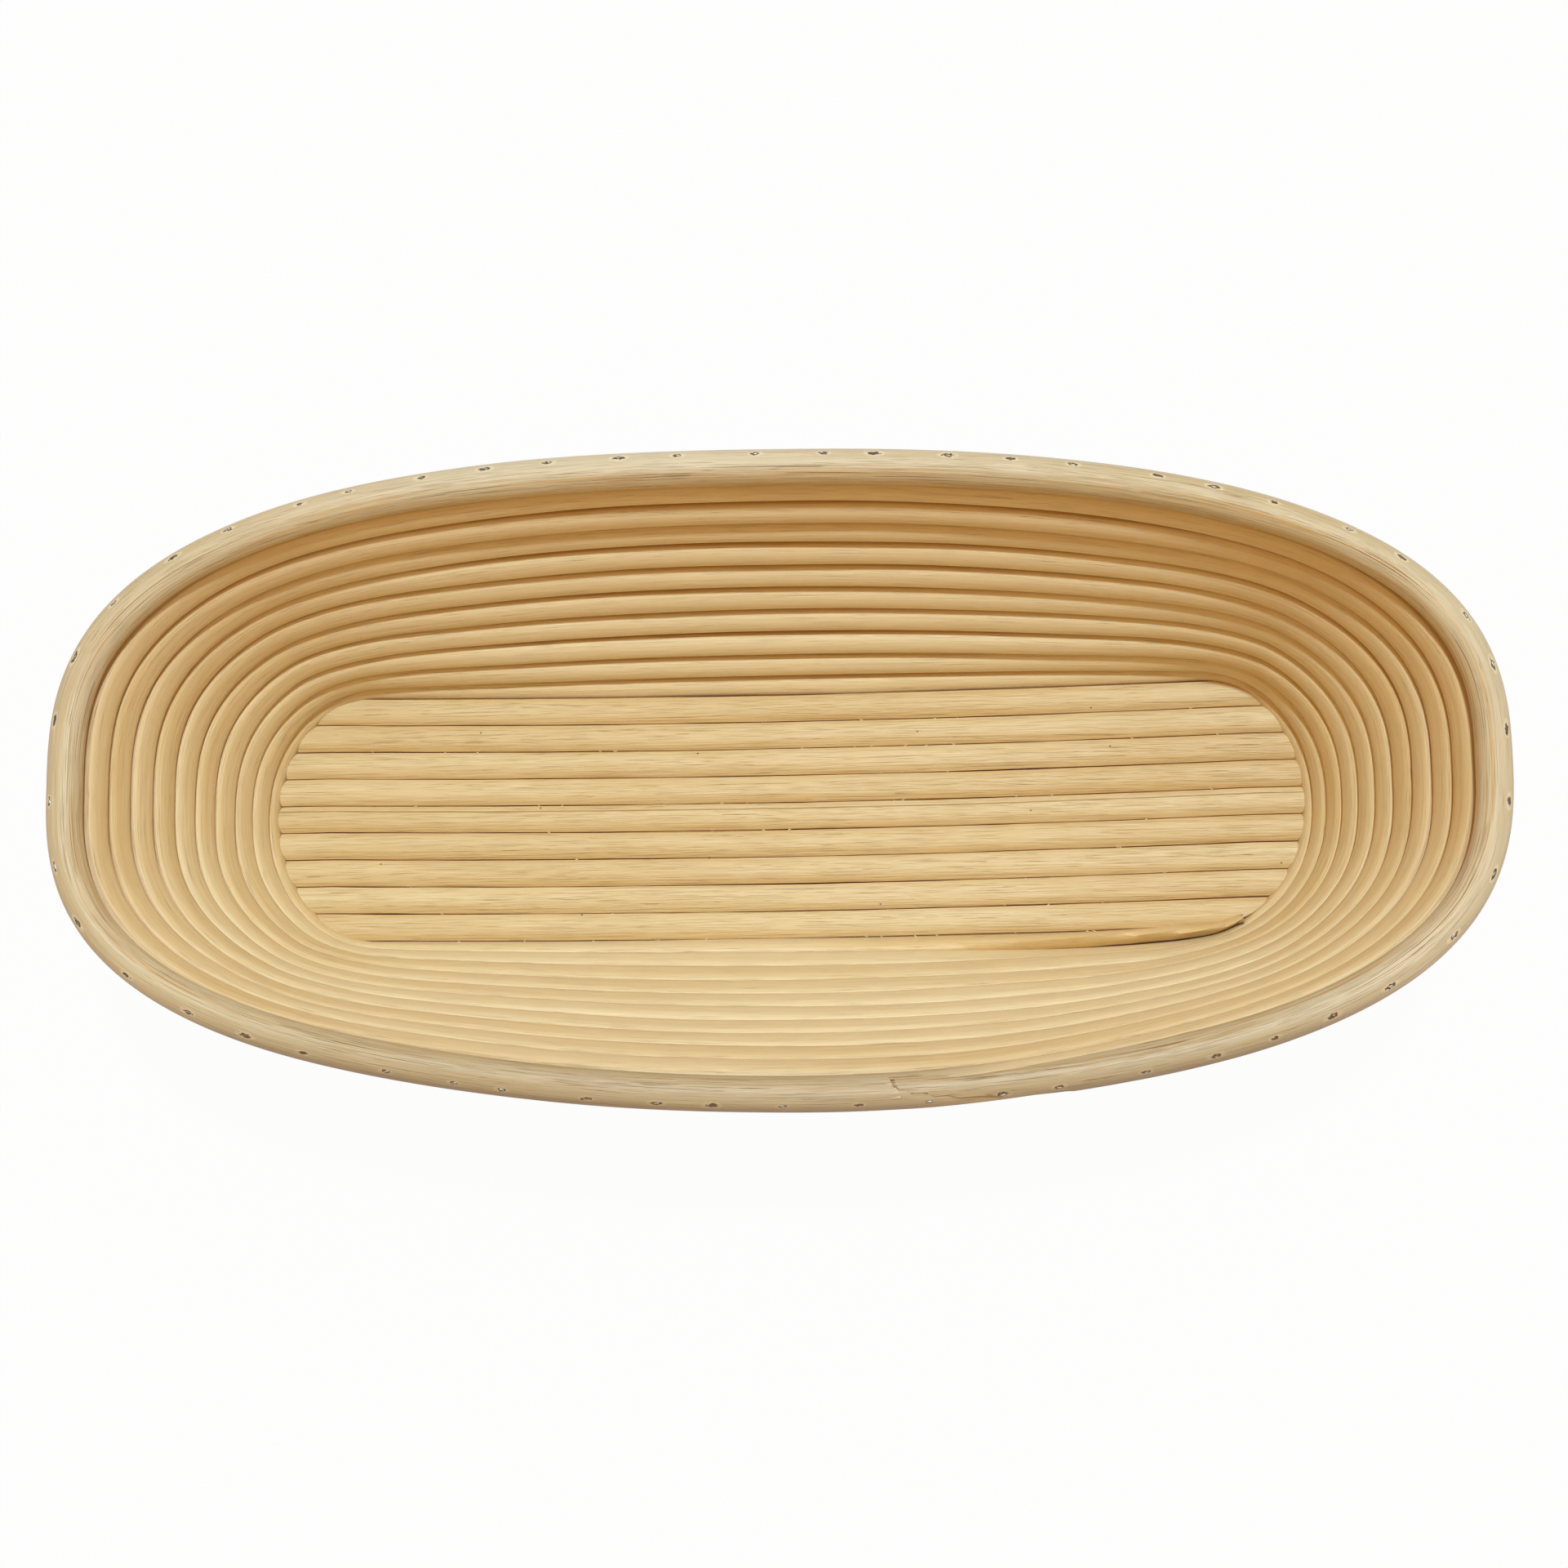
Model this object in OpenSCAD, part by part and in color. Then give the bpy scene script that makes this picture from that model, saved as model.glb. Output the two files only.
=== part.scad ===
// Long oval proofing basket: one rattan cane wound round a floor of straight slats.
// The origin is at the middle of the underside, X runs along the basket and Z is up.
// The cane starts as a flat tongue beside the nearest slat and is wound clockwise, seen from above.
// Each turn lies level, apart from one stretch of the near side, where it climbs onto the turn below.
// The first and last stretches are skived, so that the floor and the rim both lie level.

/* [Floor] */
// Width of a slat
slat_w = 7; // [5:0.1:10]
// Thickness of a slat at its crown
slat_h = 6.4; // [4.5:0.1:9]
// Height of a slat's rounded crown above its edges
slat_crown = 1.6; // [0.6:0.1:2.4]
// Seam between two slats
slat_seam = 0.15; // [0.1:0.05:0.5]
// Length of the longest slat
floor_len = 268; // [180:1:360]
// Length over which each end of the floor is rounded
floor_round = 26; // [18:1:34]

/* [Cane] */
// Diameter of the wound cane
cane_d = 7.6; // [6:0.1:10]
// Clear gap between a turn and the next, across the wall
turn_gap = 0.62; // [0.6:0.02:1]
// Clear gap between the slats and the first turn
floor_gap = 0.3; // [0.2:0.05:1]
// Height of the first turn above the surface that the slats stand on
cane_lift = 0.3; // [0:0.1:1]

/* [Wall] */
// How far the rim stands out past the first turn at each end
end_flare = 33.3; // [15:0.1:50]
// How far the rim stands out past the first turn on each side
side_flare = 39.9; // [15:0.1:50]
// How far the wall is hollowed at half height at the ends
end_hollow = 1.6; // [0:0.1:3]
// How far the wall bulges at half height on the sides
side_bulge = 1.2; // [0:0.1:3]
// Squareness of the rim's outline, where 2 is an ellipse
rim_power = 2.5; // [2:0.05:4]

/* [Winding] */
// Where the turns start to climb, in degrees round from the right end towards the near side
climb_from = 41; // [41:0.5:42]
// Where the turns stop climbing, in the same degrees
climb_to = 88; // [70:1:110]
// Share of the climb in which a turn has moved out over the turn below
out_share = 0.4; // [0.3:0.05:1]
// Least thickness of the skived ends of the cane
skive_edge = 0.8; // [0.6:0.1:1.5]

/* [Staples] */
// Width of a staple over its legs
staple_w = 2.6; // [2:0.1:4]
// Thickness of the staple wire
staple_wire = 0.7; // [0.5:0.05:1]
// Length of a staple's legs
staple_leg = 11; // [9:0.5:14]
// Distance of the rim staples from the middle of the cane, towards the outside
rim_staple_out = 1.3; // [0:0.1:2]
// Spacing of the staples along the rim
rim_staple_step = 16; // [12:1:40]
// Spacing of the staples along each turn of the wall
wall_staple_step = 48; // [30:1:80]
// Spacing of the staples along each seam of the floor
floor_staple_step = 52; // [30:1:80]
// Spacing of the staples that hold the first turn to the slats
edge_staple_step = 32; // [24:1:80]

/* [Hidden] */
$fn = 64;
// Slats side by side, and turns from the floor to the rim, which the list of nodes follows
slat_count = 9;
turns = 11;
cane_color = [0.86, 0.75, 0.55];
slat_color = [0.87, 0.77, 0.58];
staple_color = [0.70, 0.70, 0.69];
// Rings of the cane's mesh in one turn, and sides of its section
rings = 44;
sides = 8;
ring_step = 360 / rings;
// Degrees by which the rings crowd towards the corners
ring_crowd = 4.5;
// Rings looked at on either side for the nearest stretch of another turn
look = 3;
// Winding angle to either side over which the cane's direction is taken
lean = 0.5;
cane_r = cane_d / 2;
slat_pitch = slat_w + slat_seam;
floor_w = slat_count * slat_pitch - slat_seam;
top_level = turns - 1;
climb_span = climb_to - climb_from;
end_a = 360 * turns;

function mix(a, b, t) = a + (b - a) * t;
// Direction of a ring from the middle of the basket
function ring_angle(i) = i * ring_step + ring_crowd * sin(4 * i * ring_step);
function unit(v) = v / norm(v);
function flat(p) = [p.x, p.y, 0];

// Point of an oval with half lengths a and b, in the direction of an angle on its round form
function oval(angle, a, b, power) =
    pow(pow(abs(cos(angle)), power) + pow(abs(sin(angle)), power), -1 / power)
    * [a * cos(angle), b * sin(angle)];
// Point of the floor's outline, which has straight sides and half ellipses for ends, in the same way
function floor_edge(angle, a, b) =
    let (
        c = abs(cos(angle)),
        s = abs(sin(angle)),
        e = floor_round / a,
        m = c * c + e * e * s * s,
        side = (1 - e) * s >= c,
        reach = side ? 1 / s : (c * (1 - e) + sqrt(pow(c * (1 - e), 2) - m * (1 - 2 * e))) / m
    )
    reach * [a * cos(angle), b * sin(angle)];
// Outward direction of that outline at one of its points
function floor_out(p, a, b) =
    let (past = max(0, abs(p.x) - a + floor_round))
    unit([sign(p.x) * past / pow(floor_round, 2), p.y / pow(b, 2)]);

// The first turn's middle line keeps its distance from the edge of the floor
floor_a = floor_len / 2 + floor_gap;
floor_b = floor_w / 2 + floor_gap;
function first_turn(angle) =
    let (p = floor_edge(angle, floor_a, floor_b))
    p + cane_r * floor_out(p, floor_a, floor_b);
rim_a = floor_a + cane_r + end_flare;
rim_b = floor_b + cane_r + side_flare;

// Plan of the wall at a level, where 0 is the first turn and top_level is the rim
function bow(t) = 4 * t * (1 - t);
function wall_plan(angle, level) =
    let (
        t = level / top_level,
        low = first_turn(angle),
        high = oval(angle, rim_a, rim_b, rim_power)
    )
    [
        mix(low.x, high.x, t - bow(t) * end_hollow / end_flare),
        mix(low.y, high.y, t + bow(t) * side_bulge / side_flare)
    ];

// Distance from a point to the stretch between two others
function to_stretch(p, a, b) =
    let (t = max(0, min(1, (p - a) * (b - a) / ((b - a) * (b - a)))))
    norm(p - mix(a, b, t));
// Least step out from one turn to the next, which sets how high a turn rises
least_step = min([
    for (level = [0 : top_level - 1], i = [0 : rings - 1])
    min([
        for (j = [i - look : i + look - 1])
        to_stretch(
            wall_plan(ring_angle(i), level),
            wall_plan(ring_angle(j), level + 1),
            wall_plan(ring_angle(j + 1), level + 1)
        )
    ])
]);
turn_rise = sqrt(pow(cane_d + turn_gap, 2) - pow(least_step, 2));
first_z = cane_lift + cane_r;
rim_z = first_z + top_level * turn_rise;

// Levels climbed at a winding angle, which is 0 where the first climb would start
function climbed(a, share) =
    let (turn = floor(a / 360))
    turn < 1 ? 0 : min(top_level, turn - 1 + min(1, (a - 360 * turn) / (climb_span * share)));
// Middle of the cane at a winding angle
function cane_at(a) =
    let (p = wall_plan(-climb_from - a, climbed(a, out_share)))
    [p.x, p.y, first_z + turn_rise * climbed(a, 1)];
// Level direction of the cane at a winding angle
function cane_along(a) = unit(flat(cane_at(a + lean) - cane_at(a - lean)));
// Level direction square to that, towards the outside of the basket
function cane_out(a) = cross([0, 0, 1], cane_along(a));

// Steps out and up from the middle of the cane to the turn above it, or from the rim to the turn below
function on_rim(a) = a > end_a - 360;
function steps_at(a) =
    let (d = cane_at(on_rim(a) ? a - 360 : a + 360) - cane_at(a))
    [d * cane_out(a), d.z];
// Round section, cut flat where the turn at the given steps comes too near, listed from the cut
function cut_round(steps) =
    let (
        cut = min(cane_r, norm(steps) - cane_r - turn_gap),
        facing = atan2(steps.y, steps.x),
        cap = max(360 / sides, acos(cut / cane_r))
    )
    [
        cut * [cos(facing), sin(facing)],
        for (i = [0 : sides - 2])
        let (turned = facing + cap + (360 - 2 * cap) * i / (sides - 2))
        cane_r * [cos(turned), sin(turned)]
    ];
// The tongue is cut to the turn above it, and the rim's tail to the turn below
function section(a) =
    let (cut = cut_round(steps_at(a)), first = on_rim(a) ? sides / 2 : 0)
    [for (i = [0 : sides - 1]) cut[(i + first) % sides]];
function ring(a) =
    let (middle = cane_at(a), out = cane_out(a))
    [for (s = section(a)) middle + s.x * out + [0, 0, s.y]];

// The cane runs as far as its skived ends are thick enough
ring_angles = [
    for (i = [0 : rings * (turns + 1)])
    let (a = ring_angle(i) - climb_from)
    if (norm(steps_at(a)) - turn_gap >= skive_edge) a
];
stop_a = ring_angles[len(ring_angles) - 1];
cane_rings = [for (a = ring_angles) ring(a)];

// Least gap of the cane to itself: points of each ring against the round stretches a turn away
function round_clear(p, i) =
    min([
        cane_d,
        for (j = [max(0, i - look) : min(i + look, len(ring_angles)) - 1])
        if (ring_angles[j] >= climb_span && ring_angles[j] < end_a)
        to_stretch(p, cane_at(ring_angles[j]), cane_at(ring_angles[j + 1])) - cane_r
    ]);
least_gap = min([
    for (i = [0 : len(ring_angles) - 1], p = cane_rings[i])
    min(round_clear(p, i - rings), round_clear(p, i + rings))
]);
echo(least_gap = least_gap, turn_rise = turn_rise, height = rim_z + cane_r,
    length = 2 * (rim_a + cane_r), width = 2 * (rim_b + cane_r));

// A tube through rings of points, with its two ends closed
module tube(loops) {
    n = len(loops[0]);
    last = (len(loops) - 1) * n;
    walls = [
        for (i = [0 : len(loops) - 2], j = [0 : n - 1])
        let (a = i * n + j, b = i * n + (j + 1) % n)
        each [[a, b + n, b], [a, a + n, b + n]]
    ];
    ends = [for (j = [1 : n - 2]) each [[0, j, j + 1], [last, last + j + 1, last + j]]];
    polyhedron([for (loop = loops) each loop], concat(walls, ends), convexity = 20);
}

module wall_coil() {
    color(cane_color) tube(cane_rings);
}

// Section of a slat: flat below, with a low round crown
module slat_section() {
    edge = slat_h - slat_crown;
    crown_r = (slat_w * slat_w / 4 + slat_crown * slat_crown) / (2 * slat_crown);
    translate([-slat_w / 2, 0]) square([slat_w, edge]);
    intersection() {
        translate([-slat_w / 2, edge / 2]) square([slat_w, slat_h]);
        translate([0, slat_h - crown_r]) circle(crown_r);
    }
}

function slat_y(i) = ((slat_count + 1) / 2 - i) * slat_pitch;
// Slats are cut to the rounded outline of the floor, slat 1 being the furthest
module floor_slat(i) {
    outline = [for (k = [0 : rings - 1]) floor_edge(ring_angle(k), floor_len / 2, floor_b)];
    color(slat_color) intersection() {
        translate([-floor_len / 2, slat_y(i), 0]) rotate([90, 0, 90])
            linear_extrude(floor_len) slat_section();
        linear_extrude(slat_h) polygon(outline);
    }
}

// A staple with its crown on top, across X, and its legs down
module staple() {
    translate([0, staple_wire / 2, -staple_leg]) rotate([90, 0, 0]) linear_extrude(staple_wire)
        difference() {
            translate([-staple_w / 2, 0]) square([staple_w, staple_leg]);
            translate([-staple_w / 2 + staple_wire, -staple_wire])
                square([staple_w - 2 * staple_wire, staple_leg]);
        }
}
// Puts a staple at a point, with its crown along one direction and its legs away from another
module staple_at(p, along, up) {
    across = cross(up, along);
    multmatrix([
        [along.x, across.x, up.x, p.x],
        [along.y, across.y, up.y, p.y],
        [along.z, across.z, up.z, p.z]
    ]) staple();
}

// Winding angles at about equal distances along the cane between two winding angles
function spaced(from, to, step, shift = 0.5) =
    let (
        parts = ceil((to - from) / ring_step) * 2,
        w = (to - from) / parts,
        table = [
            for (i = 0, s = 0; i <= parts;
                s = s + norm(cane_at(from + (i + 1) * w) - cane_at(from + i * w)), i = i + 1)
            [s, from + i * w]
        ],
        count = max(1, round(table[parts][0] / step))
    )
    [for (k = [0 : count - 1]) lookup((k + shift) / count * table[parts][0], table)];

// A staple through a turn into the turn below it, a given distance outside the cane's middle
module turn_staple(a, out) {
    up = unit(cane_at(a) - cane_at(a - 360));
    along = unit(cane_along(a) - up * (cane_along(a) * up));
    seat = sqrt(cane_r * cane_r - out * out);
    staple_at(cane_at(a) + out * cross(up, along) + seat * up, along, up);
}
// Staples of two turns in a row stand half a space apart, so that none meets one below it
module wall_staples(turn) {
    middle = ceil(turns / 2);
    shift = turn % 2 == 0 ? 0.25 : 0.75;
    row = spaced((middle - 1) * 360 + climb_span, middle * 360, wall_staple_step, shift);
    color(staple_color) for (a = row) turn_staple(a + (turn - middle) * 360, 0);
}
module rim_staples() {
    row = spaced(top_level * 360 + climb_span, stop_a, rim_staple_step);
    color(staple_color) for (a = row) turn_staple(a, rim_staple_out);
}

// Staples through each slat into its further neighbour, moved by half a space from seam to seam
module floor_staples() {
    count = floor((floor_len - 2 * slat_pitch) / floor_staple_step);
    first = -(count - 0.5) / 2;
    color(staple_color) for (i = [2 : slat_count], k = [0 : count - 1]) {
        x = (first + k + (i % 2) / 2) * floor_staple_step;
        staple_at([x, slat_y(i) - slat_w / 2, slat_h / 2], [1, 0, 0], [0, -1, 0]);
    }
}
// Staples through the first turn into the slats
module floor_edge_staples() {
    color(staple_color) for (a = spaced(climb_span, 360, edge_staple_step))
        staple_at(cane_at(a) + cane_r * cane_out(a), cane_along(a), cane_out(a));
}

floor_slat(1);  // floor_slat_1
floor_slat(2);  // floor_slat_2
floor_slat(3);  // floor_slat_3
floor_slat(4);  // floor_slat_4
floor_slat(5);  // floor_slat_5
floor_slat(6);  // floor_slat_6
floor_slat(7);  // floor_slat_7
floor_slat(8);  // floor_slat_8
floor_slat(9);  // floor_slat_9
wall_coil();
floor_staples();
floor_edge_staples();
wall_staples(2);  // wall_staples_2
wall_staples(3);  // wall_staples_3
wall_staples(4);  // wall_staples_4
wall_staples(5);  // wall_staples_5
wall_staples(6);  // wall_staples_6
wall_staples(7);  // wall_staples_7
wall_staples(8);  // wall_staples_8
wall_staples(9);  // wall_staples_9
wall_staples(10);  // wall_staples_10
rim_staples();
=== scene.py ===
"""Looks of a long oval proofing basket: its wound cane, floor slats, staples and splinters."""

import math

import bpy
import numpy as np
from mathutils import Matrix, Vector


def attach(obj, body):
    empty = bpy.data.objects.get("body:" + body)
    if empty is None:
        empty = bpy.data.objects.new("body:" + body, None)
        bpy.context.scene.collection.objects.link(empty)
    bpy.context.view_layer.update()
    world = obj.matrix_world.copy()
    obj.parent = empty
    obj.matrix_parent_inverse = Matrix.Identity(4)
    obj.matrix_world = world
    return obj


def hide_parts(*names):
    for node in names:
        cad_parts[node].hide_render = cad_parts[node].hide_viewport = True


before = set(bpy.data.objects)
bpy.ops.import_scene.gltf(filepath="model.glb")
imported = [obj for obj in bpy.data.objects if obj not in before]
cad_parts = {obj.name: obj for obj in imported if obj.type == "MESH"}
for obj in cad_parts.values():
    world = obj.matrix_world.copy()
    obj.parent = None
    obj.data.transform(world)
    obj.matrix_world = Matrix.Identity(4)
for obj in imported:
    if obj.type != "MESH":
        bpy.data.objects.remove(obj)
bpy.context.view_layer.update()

# Sizes are in millimetres, as in the part's source, and pieces are turned into metres at the end.
MILLIMETRE = 0.001
SLATS = 9
SLAT_WIDE = 7.0
SLAT_PITCH = 7.15
SLAT_HIGH = 6.4
FLOOR_LONG = 268.0
FLOOR_ROUND = 26.0
FLOOR_GAP = 0.3
FLOOR_HALF_LONG = FLOOR_LONG / 2 + FLOOR_GAP
FLOOR_HALF_WIDE = (SLATS * SLAT_PITCH - SLAT_PITCH + SLAT_WIDE) / 2 + FLOOR_GAP
CANE_LIFT = 0.3
CAD_CANE_R = 3.8
TURNS = 11
TOP = TURNS - 1
TURN_RISE = 7.86451
END_FLARE = 33.3
SIDE_FLARE = 39.9
RIM_SQUARE = 2.5
FIRST_Z = CANE_LIFT + CAD_CANE_R
RIM_Z = FIRST_Z + TOP * TURN_RISE

# Winding angles in degrees, clockwise from where the climb starts: the climb's place and length, then where
# the cane starts, where its last full turn ends, where the rim is reached and where the tail stops.
CLIMB_FROM = 41.0
CLIMB_SPAN = 40.5
START_TURNED = 6.0
END_TURNED = 360.0 * TURNS
RIM_TURNED = END_TURNED - 360 + CLIMB_SPAN
STOP_TURNED = END_TURNED + 39.4
# The climb's form: 0 is an even slope, and 1 a smooth step.
CLIMB_EASE = 0.7
# Degrees after the start of its rise at which a turn starts to move out over the turn below.
OUT_LAG = 2.0
# Share of the climb in which the second turn has moved out, and what each later turn adds to it.
OUT_SHARE = 0.25
OUT_SHARE_STEP = 0.07
# Degrees to each side over which the cane's direction is measured.
DIRECTION_STEP = 0.4

# Half thickness of the real cane across the wall, and of the rim's turn.
CANE_R = 4.1
RIM_R = 4.25
# The turns rise less than the mean at the floor and more at the rim, by this share.
RISE_GROWTH = 0.1
# How far each turn stands in front of the wall on the far side, from the first turn to the rim.
FAR_STEPS = (0.0, 0.0, 0.45, 0.1, 0.0, 0.15, 0.1, -0.3, 0.4, -0.4, 0.0)
# How far the right, far, left and near sides of the wall bulge at half height,
# and how much more they do so below than above.
SIDE_BULGE = (-1.2, 2.4, -0.7, 1.5)
SIDE_SKEW = (-0.9, -1.7, -1.3, 1.2)
# Waves of the hand-wound rim's outline: share of the cosine and the sine for one to six waves round.
RIM_WAVES = ((-0.35, -0.2), (0.65, -1.05), (0.1, 0.4), (-0.2, 0.35), (0.2, -0.3), (-0.55, 0.15))
# Turns above the floor cut the corners of its outline: the mean of its points this many degrees
# to each side, reached at this share of the wall's height.
CORNER_EASE = (-6, -3, 0, 3, 6)
CORNERS_EASED = 0.25
# The hand-laid floor lies off to a side by this much at most, and bows by this much over this half length.
# The bow is gone at this share of the wall's height.
FLOOR_OFF = 0.75
FLOOR_BOW = 1.25
FLOOR_BOW_HALF = 110.0
BOW_GONE = 0.4


def oval(turned, half_long, half_wide, square):
    """Point of a squared oval: the round direction, divided by the power mean of its two parts."""
    c, s = np.cos(turned), np.sin(turned)
    reach = (np.abs(c) ** square + np.abs(s) ** square) ** (-1 / square)
    return np.stack([half_long * reach * c, half_wide * reach * s], -1)


def first_turn(turned):
    """Middle line of the first turn: straight sides and half ellipses, moved out by the cane's radius."""
    c, s = np.abs(np.cos(turned)), np.abs(np.sin(turned))
    end = FLOOR_ROUND / FLOOR_HALF_LONG
    m = c**2 + (end * s) ** 2
    on_end = (c * (1 - end) + np.sqrt(np.maximum(0, (c * (1 - end)) ** 2 - m * (1 - 2 * end)))) / m
    reach = np.where((1 - end) * s >= c, 1 / np.maximum(s, 0.001), on_end)
    round_point = np.stack([FLOOR_HALF_LONG * np.cos(turned), FLOOR_HALF_WIDE * np.sin(turned)], -1)
    p = reach[..., None] * round_point
    past = np.sign(p[..., 0]) * np.maximum(0, np.abs(p[..., 0]) - FLOOR_HALF_LONG + FLOOR_ROUND)
    out = np.stack([past / FLOOR_ROUND**2, p[..., 1] / FLOOR_HALF_WIDE**2], -1)
    return p + CAD_CANE_R * out / np.linalg.norm(out, axis=-1, keepdims=True)


def floor_bend(x):
    """How far the hand-laid floor lies off towards the far side: a shallow bow along its length."""
    return np.clip(FLOOR_BOW * (x / FLOOR_BOW_HALF) ** 2 - FLOOR_OFF, -FLOOR_OFF, FLOOR_OFF)


def wall_plan(turned, level):
    """Plan of the wall at a level: from the first turn to the rim's oval, plus bulge, skew and waves.

    The lowest turns follow the bow of the floor."""
    share = level / TOP
    c, s = np.cos(turned), np.sin(turned)
    sides = np.stack([np.maximum(v, 0) ** 2 for v in (c, s, -c, -s)], -1)
    bulge = sides @ np.array(SIDE_BULGE) + sides @ np.array(SIDE_SKEW) * (1 - 2 * share)
    bow = 4 * share * (1 - share) * bulge
    wave = sum(p * np.cos(k * turned) + q * np.sin(k * turned) for k, (p, q) in enumerate(RIM_WAVES, 1))
    low = first_turn(turned)
    eased = sum(first_turn(turned + math.radians(d)) for d in CORNER_EASE) / len(CORNER_EASE)
    low = low + (eased - low) * np.clip(share / CORNERS_EASED, 0, 1)[..., None]
    high = oval(
        turned,
        FLOOR_HALF_LONG + CAD_CANE_R + END_FLARE,
        FLOOR_HALF_WIDE + CAD_CANE_R + SIDE_FLARE,
        RIM_SQUARE,
    )
    plan = low + (high - low) * share[..., None] + (bow + wave * share)[..., None] * np.stack([c, s], -1)
    plan[..., 1] += floor_bend(low[..., 0]) * np.maximum(0, 1 - share / BOW_GONE) ** 2
    return plan


def climbed(turned, share):
    """Levels climbed at a winding angle: one level in each turn, over the first part of the turn, eased."""
    turn = np.floor(turned / 360)
    ramp = np.minimum(1, (turned - 360 * turn) / (CLIMB_SPAN * share))
    ramp = ramp + CLIMB_EASE * (ramp**2 * (3 - 2 * ramp) - ramp)
    return np.where(turn < 1, 0.0, np.minimum(TOP, turn - 1 + ramp))


def moved_out(turned):
    """Levels by which the cane has moved out at a winding angle: lower turns do so in a shorter stretch."""
    late = turned - OUT_LAG
    return climbed(late, OUT_SHARE + OUT_SHARE_STEP * np.clip(np.floor(late / 360) - 1, 0, TOP))


def level_height(level):
    """Height of the cane's middle at a level: the mean rise, less below and more above."""
    return FIRST_Z + TURN_RISE * level * (1 - RISE_GROWTH * (1 - level / TOP))


def cane_middle(turned):
    """Middle line of the wound cane at winding angles: the plan where it has moved out to, at its height."""
    plan = wall_plan(np.radians(-CLIMB_FROM - turned), moved_out(turned))
    return np.concatenate([plan, level_height(climbed(turned, 1))[..., None]], -1)


def unit(v):
    """Vectors divided by their lengths."""
    return v / np.linalg.norm(v, axis=-1, keepdims=True)


def dot(a, b):
    """Sums of the products of two vectors' parts."""
    return (a * b).sum(-1, keepdims=True)


def cane_frame(turned):
    """Middle, forward, up-the-wall and inward directions of the cane, and the turns' pitch along the wall.

    Up the wall is the step from half a level below to half a level above, less its part along the cane."""
    middle = cane_middle(turned)
    forward = unit(cane_middle(turned + DIRECTION_STEP) - cane_middle(turned - DIRECTION_STEP))
    way = np.radians(-CLIMB_FROM - turned)
    level = np.clip(moved_out(turned), 0.5, TOP - 0.5)
    step = wall_plan(way, level + 0.5) - wall_plan(way, level - 0.5)
    rise = np.concatenate([step, (level_height(level + 0.5) - level_height(level - 0.5))[..., None]], -1)
    rise = rise - forward * dot(rise, forward)
    pitch = np.linalg.norm(rise, axis=-1)
    up = rise / pitch[..., None]
    return middle, forward, up, np.cross(forward, up), pitch


def wander(along, seed, size, longest, waves=7):
    """Slow seeded wander along a length: a sum of sines that get shorter and lower from the longest on."""
    rng = np.random.default_rng(seed)
    total = np.zeros_like(along)
    for k in range(waves):
        length = longest / (1 + k * rng.uniform(0.7, 1.3))
        total += np.sin(2 * np.pi * along / length + rng.uniform(0, 2 * np.pi)) / (1 + 0.6 * k)
    return size * total / 2


def add_piece(name, points, faces, finish, smooth_under=50, attributes=None):
    """Makes a mesh object from points in millimetres, with its place in its mesh.

    Edges that bend less than an angle in degrees are smooth, and attributes are vectors on the points."""
    mesh = bpy.data.meshes.new(name)
    mesh.from_pydata((points * MILLIMETRE).tolist(), [], faces)
    for label, values in (attributes or {}).items():
        layer = mesh.attributes.new(label, "FLOAT_VECTOR", "POINT")
        layer.data.foreach_set("vector", values.astype(np.float32).ravel())
    mesh.polygons.foreach_set("use_smooth", [True] * len(mesh.polygons))
    mesh.set_sharp_from_angle(angle=math.radians(smooth_under))
    mesh.materials.append(finish)
    mesh.update()
    piece = bpy.data.objects.new(name, mesh)
    bpy.context.scene.collection.objects.link(piece)
    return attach(piece, "root")


def tube_faces(rings, sides, tubes=1):
    """Faces of closed tubes, one after another: a square for each pair of rings and sides, and two ends."""
    i, j = np.meshgrid(np.arange(rings - 1), np.arange(sides), indexing="ij")
    a, b = i * sides + j, i * sides + (j + 1) % sides
    squares = np.stack([a, b, b + sides, a + sides], -1).reshape(-1, 4)
    ends = np.stack([np.arange(sides)[::-1], (rings - 1) * sides + np.arange(sides)])
    faces = []
    for first in np.arange(tubes) * rings * sides:
        faces += (first + squares).tolist() + (first + ends).tolist()
    return faces


class Value:
    """A number in a shader: an expression on it adds Math nodes to its finish."""

    def __init__(self, finish, socket):
        self.finish = finish
        self.socket = socket

    def math(self, operation, *others):
        """The result of a Math node on this value and others."""
        inputs = dict(enumerate((self, *others)))
        return self.finish.value("ShaderNodeMath", {"operation": operation}, inputs)

    def __add__(self, other):
        return self.math("ADD", other)

    __radd__ = __add__

    def __mul__(self, other):
        return self.math("MULTIPLY", other)

    __rmul__ = __mul__

    def __sub__(self, other):
        return self.math("SUBTRACT", other)

    def __rsub__(self, other):
        return (self * -1) + other

    def __neg__(self):
        return self * -1

    def __truediv__(self, other):
        return self.math("DIVIDE", other)

    def __abs__(self):
        return self.math("ABSOLUTE")

    def squared(self):
        """The value times itself."""
        return self.math("POWER", 2.0)

    def fraction(self):
        """What is left of the value above a whole number."""
        return self.math("FRACT")

    def between(self, low, high):
        """0 below low and 1 above high, with an eased step from one to the other."""
        settings = {"interpolation_type": "SMOOTHSTEP"}
        inputs = {"Value": self, "From Min": low, "From Max": high}
        return self.finish.value("ShaderNodeMapRange", settings, inputs)


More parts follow.
